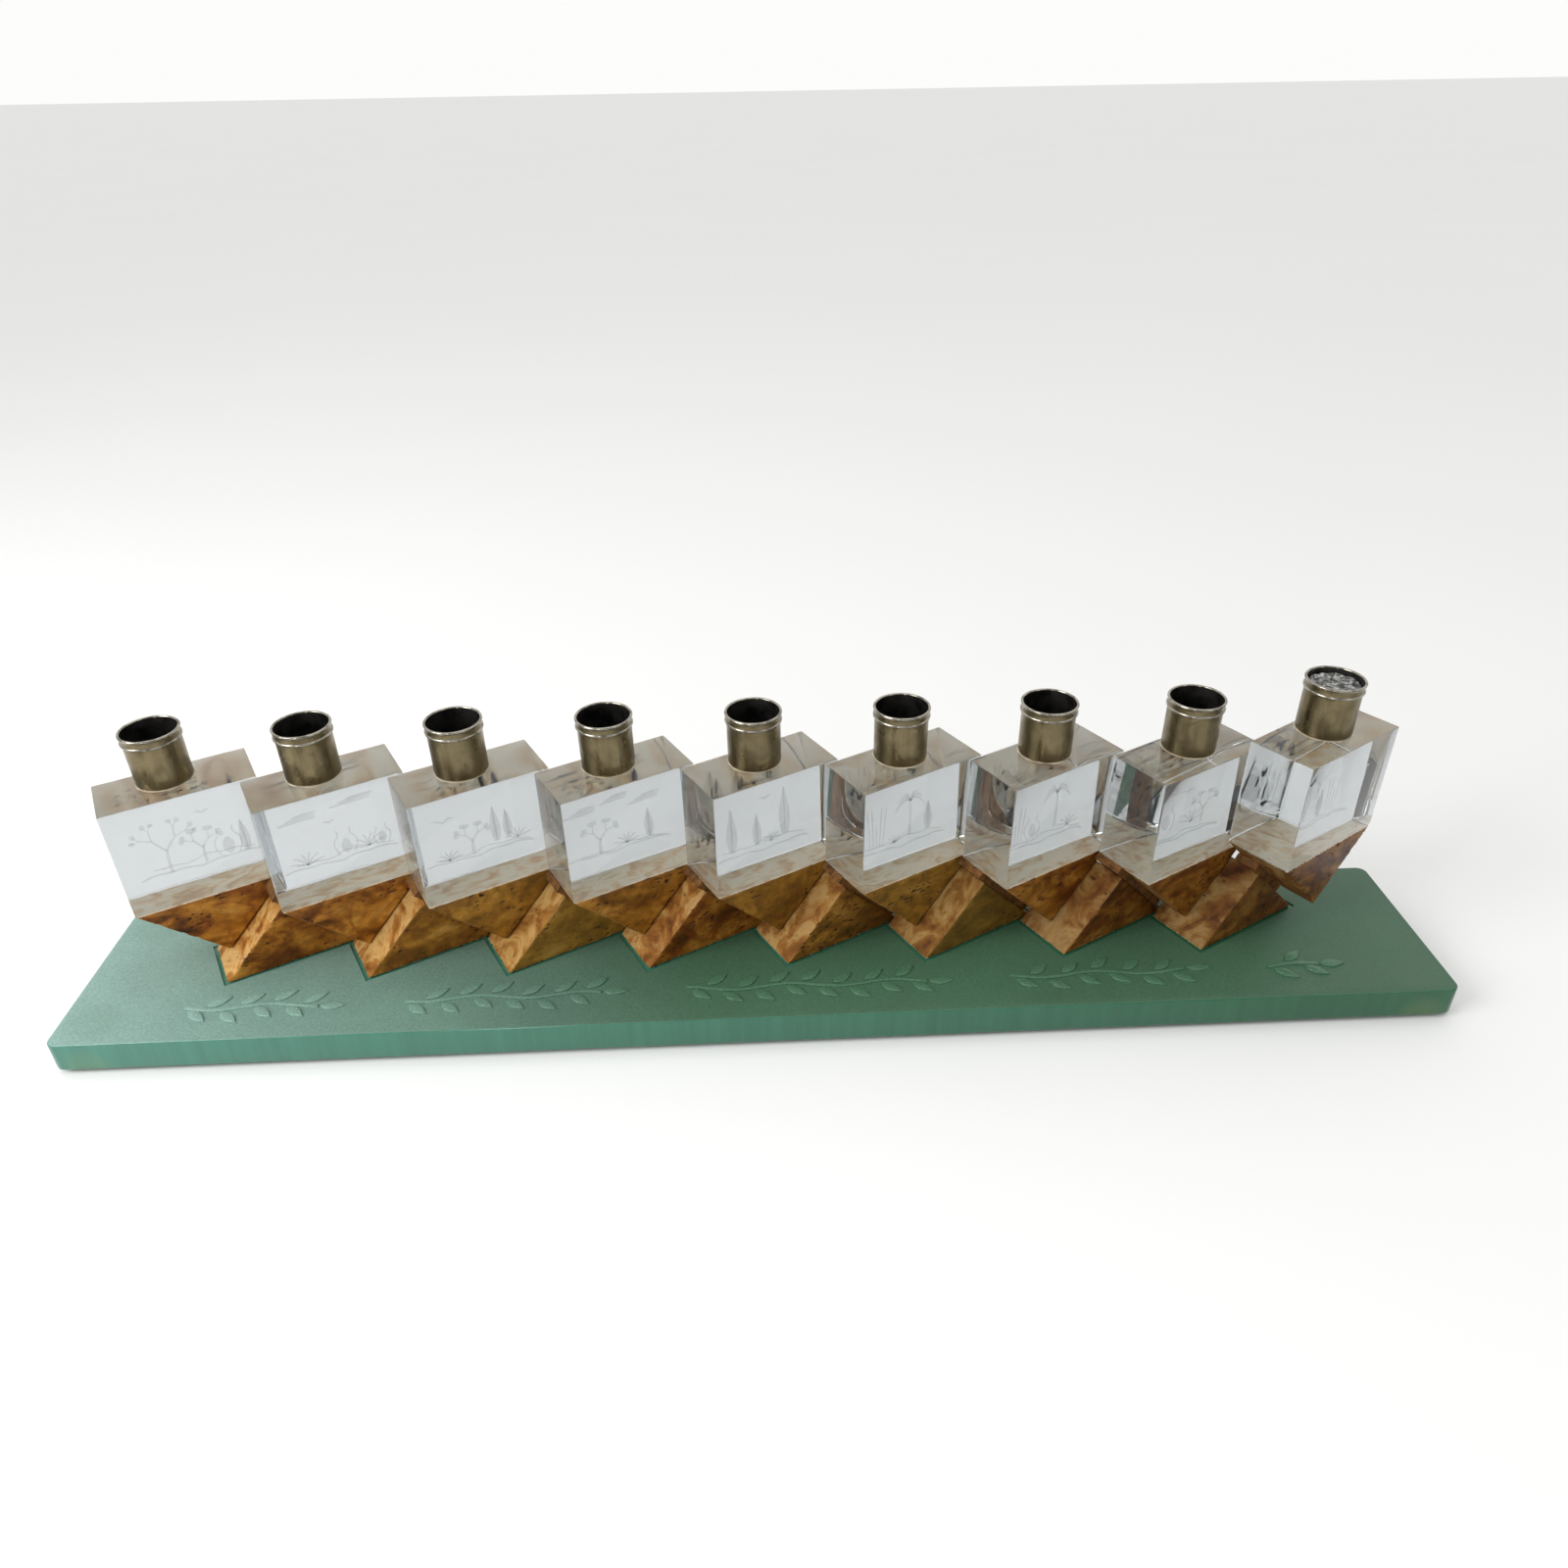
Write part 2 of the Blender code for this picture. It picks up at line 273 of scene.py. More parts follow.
def finish(piece, materials, node=None):
    """Gives the piece its materials and ties it to the frame."""
    for material in materials:
        piece.data.materials.append(material)
    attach(piece, "root")
    if node:
        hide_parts(node)
    return piece


def middle(node):
    low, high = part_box(node)
    return (low + high) / 2


def foot_of(node):
    """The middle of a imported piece's underside."""
    place = middle(node)
    place.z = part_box(node)[0].z
    return place


def half_width(node):
    low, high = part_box(node)
    return (high.x - low.x) / 2


# ---------------------------------------------------------------- material helpers

def as_colour(colour):
    """The four numbers of a colour that is given as sRGB hex or as linear numbers."""
    return (*(linear(colour) if isinstance(colour, str) else colour), 1.0)


def scaled(colour, share):
    return tuple(min(1.0, c * share) for c in colour)


def add_node(material, kind, inputs=None, stops=None, **settings):
    """Adds a node with its settings; inputs holds values and links, stops a colour ramp's stops."""
    node = material.node_tree.nodes.new(kind)
    for name, value in settings.items():
        setattr(node, name, value)
    for name, value in (inputs or {}).items():
        if isinstance(value, bpy.types.NodeSocket):
            material.node_tree.links.new(value, node.inputs[name])
        else:
            node.inputs[name].default_value = value
    if stops:
        elements = node.color_ramp.elements
        while len(elements) < len(stops):
            elements.new(0.5)
        for element, (position, colour) in zip(elements, stops):
            element.position = position
            element.color = as_colour(colour)
    return node


def start_material(name, **sockets):
    """A material with a Principled shader; sockets are its uniform values, with _ for spaces."""
    material = bpy.data.materials.new(name)
    material.use_nodes = True
    shader = material.node_tree.nodes["Principled BSDF"]
    for socket, value in sockets.items():
        shader.inputs[socket.replace("_", " ")].default_value = value
    return material, shader


def feed(material, shader, **links):
    """Links node outputs to the shader's sockets, with _ for spaces in their names."""
    for socket, output in links.items():
        material.node_tree.links.new(output, shader.inputs[socket.replace("_", " ")])


def object_place(m):
    return add_node(m, "ShaderNodeTexCoord").outputs["Object"]


def attribute(m, name):
    return add_node(m, "ShaderNodeAttribute", attribute_name=name).outputs["Fac"]


def stretched(m, place, rise):
    """The place with its height scaled by rise: a texture comes out long where rise is small."""
    mapping = add_node(m, "ShaderNodeMapping", {"Vector": place, "Scale": (1.0, 1.0, rise)})
    return mapping.outputs["Vector"]


def noise_at(m, place, **inputs):
    """A cloudy noise from 0 to 1; a W input picks one of many alike."""
    dimensions = "4D" if "W" in inputs else "3D"
    return add_node(m, "ShaderNodeTexNoise", {"Vector": place, **inputs},
                    noise_dimensions=dimensions).outputs["Fac"]


def spread(m, value, to_low, to_high, from_low=0.0, from_high=1.0, **settings):
    """The value moved from one range into another, and kept inside it."""
    return add_node(m, "ShaderNodeMapRange", {
        "Value": value, "From Min": from_low, "From Max": from_high, "To Min": to_low,
        "To Max": to_high}, **settings).outputs["Result"]


def ramp(m, value, *stops):
    """The value as a colour; each stop is a position and its colour."""
    return add_node(m, "ShaderNodeValToRGB", {"Fac": value}, stops).outputs["Color"]


def blend(m, share, under, over):
    """The colour under, covered by the colour over as far as share says."""
    if not isinstance(over, bpy.types.NodeSocket):
        over = as_colour(over)
    mix = add_node(m, "ShaderNodeMix", {"Factor": share, 6: under, 7: over}, data_type="RGBA")
    return mix.outputs[2]


def maths(m, operation, *values):
    return add_node(m, "ShaderNodeMath", dict(enumerate(values)), operation=operation).outputs[0]


def vector_maths(m, operation, *values):
    node = add_node(m, "ShaderNodeVectorMath", dict(enumerate(values)), operation=operation)
    return node.outputs["Value" if operation == "DISTANCE" else "Vector"]


def bump(m, height, strength, distance):
    return add_node(m, "ShaderNodeBump", {
        "Height": height, "Strength": strength, "Distance": distance}).outputs["Normal"]


def travertine(name, settings):
    """Golden travertine, sawn and sealed: cloudy honey bands, rust stains, pits and pale sawn slopes."""
    m, shader = start_material(name, IOR=1.52, Specular_IOR_Level=0.2)
    place = object_place(m)
    seed, pit, slope, flat, ochre, row_shade = (attribute(m, layer) for layer in STONE_LAYERS)
    # Bedding lies level, so its clouds are 1.6 times as long as they are high
    bedding = stretched(m, place, 1.6)
    clouds = noise_at(m, bedding, W=seed, Scale=48.0, Detail=7.0, Roughness=0.55,
                      Distortion=1.3)                                    # clouds of about 20 mm
    honey = ramp(m, clouds, (0.30, "#40210a"), (0.42, "#784410"), (0.51, settings.honey),
                 (0.60, "#bd8232"), (0.72, "#d6a45a"))
    stains = noise_at(m, place, W=seed, Scale=95.0, Detail=6.0, Distortion=1.8)   # of about 10 mm
    stained = spread(m, stains, 0.0, 0.85, 0.50, 0.66)
    rusty = blend(m, stained, honey, "#7a3a10")
    yellow = blend(m, ochre, rusty, "#917830")
    # Fine mottling of 1 to 3 mm that breaks up the clouds
    mottle = noise_at(m, bedding, W=seed, Scale=330.0, Detail=6.0, Roughness=0.65)
    body = vector_maths(m, "MULTIPLY", yellow, spread(m, mottle, 0.58, 1.22, 0.32, 0.68))
    # The slopes are sawn and unpolished, so paler: cream and amber beds with brown stains
    marble = noise_at(m, place, W=seed, Scale=62.0, Detail=8.0, Roughness=0.6,
                      Distortion=2.4)                                    # beds of about 16 mm
    sawn = ramp(m, marble, (0.33, "#552a0d"), (0.43, "#8f5820"), (0.50, settings.sawn),
                (0.59, "#c9a365"), (0.70, "#96602a"))
    sloped = blend(m, maths(m, "MULTIPLY", slope, 0.8), body, sawn)
    # Hairline cracks where the beds' noise crosses one value, only in the stained parts
    distance = maths(m, "ABSOLUTE", maths(m, "SUBTRACT", marble, 0.47))
    crack = maths(m, "MULTIPLY", spread(m, distance, 0.95, 0.0, 0.0, 0.011), stained)
    # Painted shade: each stone is darkened by its place in the row, for the key lamp's falloff from the
    # left
    row_shaded = vector_maths(m, "MULTIPLY", blend(m, crack, sloped, "#2a1406"), row_shade)
    # The flat tops under the blocks are painted near-white, with pinkish and greenish patches: painted
    # light for the light that reaches them through the clear blocks.
    smear = noise_at(m, place, W=seed, Scale=120.0, Detail=6.0, Distortion=1.5)   # of about 8 mm
    painted_lit_top = ramp(m, smear, (0.34, "#dcb48c"), (0.44, "#f3d6ac"), (0.52, settings.bedded),
                    (0.60, "#fff3dc"), (0.70, "#eadbb2"))
    bedded = blend(m, maths(m, "MULTIPLY", flat, 0.95), row_shaded, painted_lit_top)
    matt = maths(m, "MAXIMUM", slope, pit)
    # The pits are painted near-black: painted shade inside the holes, whose dents are shallow
    feed(m, shader, Base_Color=blend(m, pit, bedded, "#2a1608"),
         Roughness=spread(m, matt, 0.34, 0.68), Normal=bump(m, mottle, 0.35, 0.4 * MM))
    return m


def clear_acrylic(settings):
    """Cast acrylic, flame-polished: clear and bright, with faint finger smudges on its faces."""
    m, shader = start_material("cast_acrylic", Base_Color=as_colour(settings.tint), IOR=1.49,
                               Transmission_Weight=1.0)
    smudge = noise_at(m, object_place(m), Scale=60.0, Detail=3.0, Distortion=0.6)  # of 15 mm
    feed(m, shader, Roughness=spread(m, smudge, 0.0, 0.05, 0.5, 0.8))
    haze = add_node(m, "ShaderNodeVolumeAbsorption", {
        "Color": as_colour("#dfe6df"), "Density": 3.0})
    output = m.node_tree.nodes["Material Output"]
    m.node_tree.links.new(haze.outputs["Volume"], output.inputs["Volume"])
    return m


def etched_acrylic(settings):
    """Scattering marks that a laser leaves inside acrylic: faint, grey and without any gloss."""
    m, _ = start_material("etched_acrylic", Roughness=0.9, Alpha=0.1,
                          Base_Color=as_colour(settings.etching))
    return m


def hazed_acrylic():
    """The hazy ground that the laser leaves round a scene: pale grey, finely speckled, matt."""
    m, shader = start_material("hazed_acrylic", Roughness=0.9, Alpha=0.05)
    speckle = noise_at(m, object_place(m), Scale=700.0, Detail=5.0, Roughness=0.7)  # of 1.5 mm
    feed(m, shader, Base_Color=ramp(m, speckle, (0.35, "#8f9398"), (0.65, "#c9ced4")))
    return m


def along_plate(m, place, half_length):
    """Rises from 0 at the plate's left-hand end to 1 at its right-hand end."""
    parts = add_node(m, "ShaderNodeSeparateXYZ", {"Vector": place})
    return spread(m, parts.outputs["X"], 0.0, 1.0, -half_length, half_length)


def near_foot(m, place, foot, strength, full, none):
    """Strength as far as full from each foot, and nothing from none on; foot is the +X +Y one."""
    away = vector_maths(m, "DISTANCE", vector_maths(m, "ABSOLUTE", place), foot)
    return spread(m, away, strength, 0.0, full, none, interpolation_type="SMOOTHSTEP")


def frosted_glass(name, settings, foot, half_length, light, roughness):
    """Float glass, sandblasted: milky sea green, painted lighter towards the left-hand end as painted
    light for the key lamp's falloff; light lifts its colour where it was masked, as a painted highlight.
    """
    m, shader = start_material(name, IOR=1.52, Specular_IOR_Level=0.35)
    place = object_place(m)
    cloud = noise_at(m, place, Scale=22.0, Detail=5.0, Roughness=0.6)    # clouds of 45 mm
    grit = noise_at(m, place, Scale=1500.0, Detail=2.0)    # 0.7 mm, coarser than real grit, to show
    # light above 1 lifts the colour of the sprigs' copy: a painted highlight
    deep = [c * light for c in settings.deep]
    # Painted light: the top is lighter towards the left-hand end, for the key lamp's falloff
    milky_and_lit = ramp(m, along_plate(m, place, half_length),
                 (0.0, [c * light for c in settings.frosted]), (0.45, deep), (1.0, deep))
    uneven = maths(m, "MULTIPLY", spread(m, cloud, 0.88, 1.12, 0.3, 0.7),
                   spread(m, grit, 0.84, 1.16, 0.3, 0.7))
    body = vector_maths(m, "MULTIPLY", milky_and_lit, uneven)
    shade = near_foot(m, place, foot, 0.14, 9.5 * MM, 14.0 * MM)
    feed(m, shader, Base_Color=blend(m, shade, body, "#3f5b40"),
         Roughness=spread(m, grit, roughness - 0.08, roughness + 0.12),
         Normal=bump(m, grit, 0.2, 0.2 * MM))
    return m


def polished_edge(settings, foot, half_length):
    """Float glass seen edge-on, polished: deep green, glossy, with upright streaks from the wheel."""
    m, shader = start_material("polished_glass_edge", IOR=1.52)
    place = object_place(m)
    streaks = noise_at(m, stretched(m, place, 0.04), Scale=260.0, Detail=5.0,
                       Roughness=0.65)                                   # about 4 mm apart
    # Painted shade: the edge darkens towards the right-hand end, for the key lamp's falloff
    depth = ramp(m, along_plate(m, place, half_length), (0.0, settings.edge),
                 (0.9, settings.edge_shaded_end))
    body = vector_maths(m, "MULTIPLY", depth, spread(m, streaks, 0.88, 1.12, 0.3, 0.7))
    # Painted reflection: the amber foot under the plate, as seen through the polished edge
    amber = near_foot(m, place, foot, 0.16, 8.5 * MM, 12.0 * MM)
    feed(m, shader, Base_Color=blend(m, amber, body, "#7f9350"),
         Roughness=spread(m, streaks, 0.05, 0.2))
    return m


def satin_nickel(settings):
    """Nickel-plated steel, satin and tarnished brown: upright streaks and a few darker blotches."""
    m, shader = start_material("satin_nickel", Metallic=1.0)
    place = object_place(m)
    streaks = noise_at(m, stretched(m, place, 0.12), Scale=420.0, Detail=5.0)   # about 2 mm apart
    blotch = noise_at(m, place, Scale=190.0, Detail=4.0, Distortion=0.8)        # tarnish of 5 mm
    both = maths(m, "MULTIPLY", streaks, blotch)
    base = settings.nickel
    feed(m, shader, Roughness=spread(m, both, 0.38, 0.22, 0.15, 0.4),
         Base_Color=ramp(m, both, (0.14, scaled(base, 0.72)), (0.24, base),
                         (0.36, scaled(base, 1.12))))
    return m


def bright_nickel(settings):
    """Nickel plating worn bright by handling, on the rolled rim and the bead."""
    m, shader = start_material("bright_nickel", Metallic=1.0)
    wear = noise_at(m, object_place(m), Scale=350.0, Detail=4.0)         # scuffs of about 3 mm
    feed(m, shader, Roughness=spread(m, wear, 0.2, 0.1),
         Base_Color=ramp(m, wear, (0.35, scaled(settings.rim, 0.45)), (0.55, settings.rim)))
    return m


def sooty_nickel():
    """The inside of a cup: plating darkened by flame, almost black, with a dull gloss."""
    m, shader = start_material("sooty_nickel", Metallic=0.85)
    soot = noise_at(m, object_place(m), Scale=260.0, Detail=5.0)         # soot clouds of 4 mm
    feed(m, shader, Roughness=spread(m, soot, 0.55, 0.2),
         Base_Color=ramp(m, soot, (0.35, "#1b1a1a"), (0.7, "#55534f")))
    return m


def dried_glue():
    """Epoxy squeezed out under a cup: pinkish beige, half clear, with a wet-looking gloss."""
    m, shader = start_material("dried_epoxy", IOR=1.5, Roughness=0.25)
    cloud = noise_at(m, object_place(m), Scale=400.0, Detail=2.0)
    feed(m, shader, Base_Color=ramp(m, cloud, (0.3, "#8f8068"), (0.7, "#c4b8a0")))
    return m


def sooty_wax():
    """Burnt-out paraffin: greyish white crusts with black soot between them, slightly greasy."""
    m, shader = start_material("sooty_paraffin", IOR=1.44, Subsurface_Weight=0.15,
                               Subsurface_Radius=(2 * MM, 2 * MM, 2 * MM), Subsurface_Scale=1.0)
    crust = noise_at(m, object_place(m), Scale=480.0, Detail=6.0, Roughness=0.7,
                     Distortion=1.2)                                     # crusts of about 2 mm
    feed(m, shader, Roughness=spread(m, crust, 0.75, 0.35),
         Base_Color=ramp(m, crust, (0.42, "#1a1918"), (0.50, "#605f5c"), (0.60, "#a3a4a2"),
                         (0.72, "#d8d9d7")),
         Normal=bump(m, crust, 0.6, 0.4 * MM))
    return m


def foot_rubber():
    """Clear polyurethane bumper, yellowed amber with age: soft-edged, with a waxy gloss."""
    m, shader = start_material("aged_polyurethane", IOR=1.5)
    ageing = noise_at(m, object_place(m), Scale=300.0, Detail=3.0)
    feed(m, shader, Roughness=spread(m, ageing, 0.35, 0.55),
         Base_Color=ramp(m, ageing, (0.3, "#8a6a22"), (0.7, "#b9974a")))
    return m


def stone_mortar():
    """Resin filled with stone dust, in the joints between the wedges: matt brown, grainy."""
    m, shader = start_material("stone_dust_resin", IOR=1.5, Roughness=0.7, Specular_IOR_Level=0.3)
    dust = noise_at(m, object_place(m), Scale=500.0, Detail=6.0)         # grains of about 2 mm
    feed(m, shader, Base_Color=ramp(m, dust, (0.3, "#3d2109"), (0.7, "#7d5222")))
    return m


# ---------------------------------------------------------------- stone

STONE_LAYERS = ("seed", "pit", "slope", "flat", "ochre", "row_shade")    # what the stone's material reads
STONE_ARRIS = 0.25 * MM
PIT_SIZE = 1.9 * MM                     # length of an ordinary hole along the bedding
PIT_PATCH = 11.0 * MM                   # holes come in patches of this size
SWELL_SIZE = 7.0 * MM
SWELL_DEPTH = 0.07 * MM
EDGE_WIDTH = 0.9 * MM                   # how far from an edge it may be chipped
CHIP_SIZE = 2.6 * MM
LAST_STONE_SHADE = 0.55                          # painted shade: the last stones are this much darker than the first, for the key lamp's falloff along the row
OCHRE_LOWER = {3: 0.55, 6: 0.6, 2: 0.2, 5: 0.25}    # wedges cut from yellower beds
OCHRE_UPPER = {6: 0.45, 3: 0.3, 5: 0.3, 4: 0.15}
MORTAR_BITE = 0.2 * MM                  # the joint's fill laps this far over the stone's corner
MORTAR_CREST = 4.0 * MM                 # the fill goes on this far past the lower stone's ridge
MORTAR_SPARE = 0.02 * MM                # space left at the lower stone, so that no faces coincide


def soft_step(value, low, high):
    share = min(1.0, max(0.0, (value - low) / (high - low)))
    return share * share * (3.0 - 2.0 * share)


def weather(piece, planes, seed, settings, ochre, row_shade):
    """Moves the stone's vertices in: a gentle swell, holes in patches and chips along the edges."""
    mesh = piece.data
    offset = Vector((seed * 7.3, seed * 3.1, seed * 5.7))
    layers = {name: [] for name in STONE_LAYERS}
    before = [(vertex.co.copy(), vertex.normal.copy()) for vertex in mesh.vertices]
    after = []
    for place, outward in before:
        reach = sorted((normal.dot(point - place), abs(normal.z)) for point, normal in planes)
        rise = reach[0][1]
        is_flat = rise > 0.9
        edge_share = 1.0 - soft_step(reach[1][0], 0.0, EDGE_WIDTH)
        bedded = Vector((place.x, place.y, place.z * 3.0)) / PIT_SIZE + offset
        patch = noise.noise(place / PIT_PATCH + offset)
        hole = noise.noise(bedded) + 0.35 * patch
        hole -= 0.14 if 0.5 < rise else 0.0
        pit = 0.0 if is_flat else soft_step(hole, 0.52, 0.66)
        chip = edge_share * soft_step(noise.noise(place / CHIP_SIZE + offset), 0.2, 0.5)
        swell = 0.5 + 0.5 * noise.noise(place / SWELL_SIZE + offset)
        inward = pit * settings.pit_depth + chip * settings.chip_depth * (0.4 if is_flat else 1.0)
        if not is_flat:
            inward += swell * SWELL_DEPTH
        after.extend(place - outward * inward)
        values = (seed, pit, float(0.5 < rise < 0.9), float(is_flat), ochre, row_shade)
        for name, value in zip(STONE_LAYERS, values):
            layers[name].append(value)
    mesh.vertices.foreach_set("co", after)
    mesh.update()
    for name, values in layers.items():
        mesh.attributes.new(name, "FLOAT", "POINT").data.foreach_set("value", values)


def add_wedges(kind, count, ochres, material, settings):
    for k in range(1, count + 1):
        node = f"{kind}_wedge_{k}"
        piece = copy_of_node(node, f"{kind}_stone_{k}")
        planes = [(face.center.copy(), face.normal.copy()) for face in piece.data.polygons]
        bevel_all(piece, STONE_ARRIS, 2)
        keep_modifier(piece, "grain", "REMESH", mode="VOXEL", voxel_size=settings.grain)
        seed = k * 1.37 + (20.0 if kind == "upper" else 0.0)
        # Painted shade along the row, for the key lamp's falloff from the left
        row_shade = 1.0 - LAST_STONE_SHADE * (k - 1) / (count - 1)
        weather(piece, planes, seed, settings, ochres.get(k, 0.0), row_shade)
        piece.data.shade_smooth()
        finish(piece, [material], node)


def facing(node, rightward, upward):
    """The outward direction and a point of a packed wedge's slope on that side."""
    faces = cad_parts[node].data.polygons
    face = max(faces, key=lambda f: rightward * f.normal.x + upward * f.normal.z)
    return face.normal.copy(), face.center.copy()


class MENORAH_OT_mortar(bpy.types.Operator):
    """Makes the filled joints under the left slopes of the upper wedges"""
    bl_idname = "menorah.mortar"
    bl_label = "Mortar Joints"

    def execute(self, context):
        material = stone_mortar()
        for k in range(2, LIGHTS + 1):
            stone = f"upper_wedge_{k}"
            neighbour = f"lower_wedge_{k - 1}"
            left, on_stone = facing(stone, -1, -1)
            up, on_neighbour = facing(neighbour, 1, 1)
            slit = (on_stone - on_neighbour).dot(up)
            limit = self.limit(neighbour, up, up * (slit + MORTAR_BITE))
            joint = copy_of_node(stone, f"mortar_joint_{k}")
            edit()
            pick("FACE", lambda face: face.normal.dot(left) < 0.99)
            bpy.ops.mesh.delete(type="FACE")
            thicken(left * (slit - MORTAR_SPARE))
            leave_edit()
            keep_modifier(joint, "limited", "BOOLEAN", object=limit, operation="INTERSECT")
            bpy.data.objects.remove(limit, do_unlink=True)
            if not joint.data.polygons:
                raise RuntimeError(f"{stone} has no joint with {neighbour}")
            finish(joint, [material])
        return {"FINISHED"}

    def limit(self, node, up, shift):
        """The lower stone, shifted, with its ridge drawn out further up its right slope."""
        piece = copy_of_node(node, "limit")
        piece.data.transform(Matrix.Translation(shift))
        ridge = max(vertex.co.z for vertex in piece.data.vertices)
        along = up.cross(Vector((0.0, 0.0, 1.0))).normalized().cross(up)
        edit()
        pick("VERT", lambda vertex: vertex.co.z > ridge - SAME)
        bpy.ops.transform.translate(value=along * math.copysign(MORTAR_CREST, along.z))
        leave_edit()
        return piece


class MENORAH_OT_lower_wedges(bpy.types.Operator):
    """Makes the eight stone wedges that stand on the plate"""
    bl_idname = "menorah.lower_wedges"
    bl_label = "Lower Wedges"

    def execute(self, context):
        settings = context.scene.menorah_stone
        material = travertine("golden_travertine_lower", settings)
        add_wedges("lower", LOWER_WEDGES, OCHRE_LOWER, material, settings)
        return {"FINISHED"}


class MENORAH_OT_upper_wedges(bpy.types.Operator):
    """Makes the nine stone wedges that lie between them, ridge down"""
    bl_idname = "menorah.upper_wedges"
    bl_label = "Upper Wedges"

    def execute(self, context):
        settings = context.scene.menorah_stone
        material = travertine("golden_travertine_upper", settings)
        add_wedges("upper", LIGHTS, OCHRE_UPPER, material, settings)
        return {"FINISHED"}


# ---------------------------------------------------------------- plate

SEAT_DEPTH = 0.4 * MM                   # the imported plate's seats under the stones
CUTTER_HEIGHT = 2.0 * MM
SPRIG_SINK = 0.1 * MM                   # the sprigs go this far down into the plate's top


def level_faces(name, height):
    """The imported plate's upward faces at one height, as a piece of their own."""
    source = copy_of_node("base_plate", name)
    edit()
    pick("FACE", lambda face: face.normal.z < 0.99
         or abs(face.calc_center_median().z - height) >= 10 * SAME)
    bpy.ops.mesh.delete(type="FACE")
    bpy.ops.mesh.select_all(action="SELECT")
    bpy.ops.mesh.dissolve_limited(angle_limit=FLAT_ANGLE)
    leave_edit()
    return source


class MENORAH_OT_plate(bpy.types.Operator):
    """Makes the glass plate, its seats for the stones and its raised sprigs"""
    bl_idname = "menorah.plate"
    bl_label = "Glass Plate"

    def execute(self, context):
        settings = context.scene.menorah_plate
        low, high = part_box("base_plate")
        lower_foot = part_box("lower_wedge_1")[0].z
        seat_floor = lower_foot - GAP
        top = seat_floor + SEAT_DEPTH
        foot = middle("foot_pad_back_right")
        foot.z = low.z
        frosted = frosted_glass("sandblasted_glass", settings, foot, high.x, 1.0, 0.5)
        # The sprigs' copy is glossier, as glass masked from the sandblast is, and painted 1.25 times
        # lighter: a painted highlight on the raised strokes
        masked_lit = frosted_glass("masked_glass_lit", settings, foot, high.x, 1.25, 0.22)
        edge = polished_edge(settings, foot, high.x)
        self.add_slab(settings, low, high, top, seat_floor, frosted, edge)
        self.add_sprigs(settings, top, high.z, masked_lit)
        return {"FINISHED"}

    def add_slab(self, settings, low, high, top, seat_floor, frosted, edge):
        size = Vector((high.x - low.x, high.y - low.y, top - low.z))
        centre = Vector(((low.x + high.x) / 2, (low.y + high.y) / 2, (low.z + top) / 2))
        slab = add_box("glass_plate", size, centre)
        edit()
        pick("EDGE", lambda e: abs(e.verts[0].co.z - e.verts[1].co.z) > size.z / 2)
        bpy.ops.mesh.bevel(offset=settings.corner, segments=12, affect="EDGES")
        pick("EDGE", lambda e: abs(e.verts[0].co.z - e.verts[1].co.z) < SAME)
        bpy.ops.mesh.bevel(offset=settings.arris, segments=3, affect="EDGES")
        leave_edit()
        cutter = level_faces("seat_cutter", seat_floor)
        edit()
        thicken((0.0, 0.0, CUTTER_HEIGHT))
        leave_edit()
        keep_modifier(slab, "seats", "BOOLEAN", object=cutter, operation="DIFFERENCE")
        bpy.data.objects.remove(cutter, do_unlink=True)
        smooth(slab, 30.0)
        finish(slab, [frosted, edge], "base_plate")
        for face in slab.data.polygons:
            is_top = face.normal.z > 0.95 and face.center.z > top - 10 * SAME
            face.material_index = 0 if is_top else 1

    def add_sprigs(self, settings, top, crest, masked_lit):
        sprigs = level_faces("raised_sprigs", crest)
        edit()
        thicken((0.0, 0.0, top - SPRIG_SINK - crest))
        pick("EDGE", lambda e: min(v.co.z for v in e.verts) > crest - SAME)
        bpy.ops.mesh.bevel(offset=settings.relief_round, segments=3, affect="EDGES",
                           clamp_overlap=True)
        leave_edit()
        smooth(sprigs, 50.0)
        finish(sprigs, [masked_lit])


class MENORAH_OT_feet(bpy.types.Operator):
    """Makes the four soft feet under the plate"""
    bl_idname = "menorah.feet"
    bl_label = "Feet"

    def execute(self, context):
        low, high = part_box(FEET[0])
        radius = half_width(FEET[0])
        height = high.z - low.z
        edge = 0.35 * MM                # rounding along the foot's edges
        outline = [(radius * 0.6, 0.0)]
        outline += arc((radius - edge, edge), edge, -90, 0, 4)
        outline += arc((radius - edge, height - edge), edge, 0, 90, 4)
        pattern = turned("foot_pattern", outline, 48)
        material = foot_rubber()
        for node in FEET:
            foot = copy_moved(pattern, node.replace("pad", "rubber"), foot_of(node))
            smooth(foot)
            finish(foot, [material], node)
        bpy.data.objects.remove(pattern, do_unlink=True)
        return {"FINISHED"}


# ---------------------------------------------------------------- clear blocks

class MENORAH_OT_blocks(bpy.types.Operator):
    """Makes the nine clear blocks, each bedded on its stone"""
    bl_idname = "menorah.blocks"
    bl_label = "Clear Blocks"

    def execute(self, context):
        settings = context.scene.menorah_block
        material = clear_acrylic(settings)
        bed = 2 * GAP
        for k in range(1, LIGHTS + 1):
            block = copy_of_node(f"crystal_block_{k}", f"clear_block_{k}")
            bevel_all(block, settings.arris, 3)
            # The underside goes on into the stone, because glue leaves no air between them
            edit()
            pick("FACE", lambda face: face.normal.z < -0.999)
            bpy.ops.mesh.extrude_region_move(
                TRANSFORM_OT_translate={"value": (0.0, 0.0, -bed)})
            leave_edit()
            smooth(block, 30.0)
            finish(block, [material], f"crystal_block_{k}")
        return {"FINISHED"}


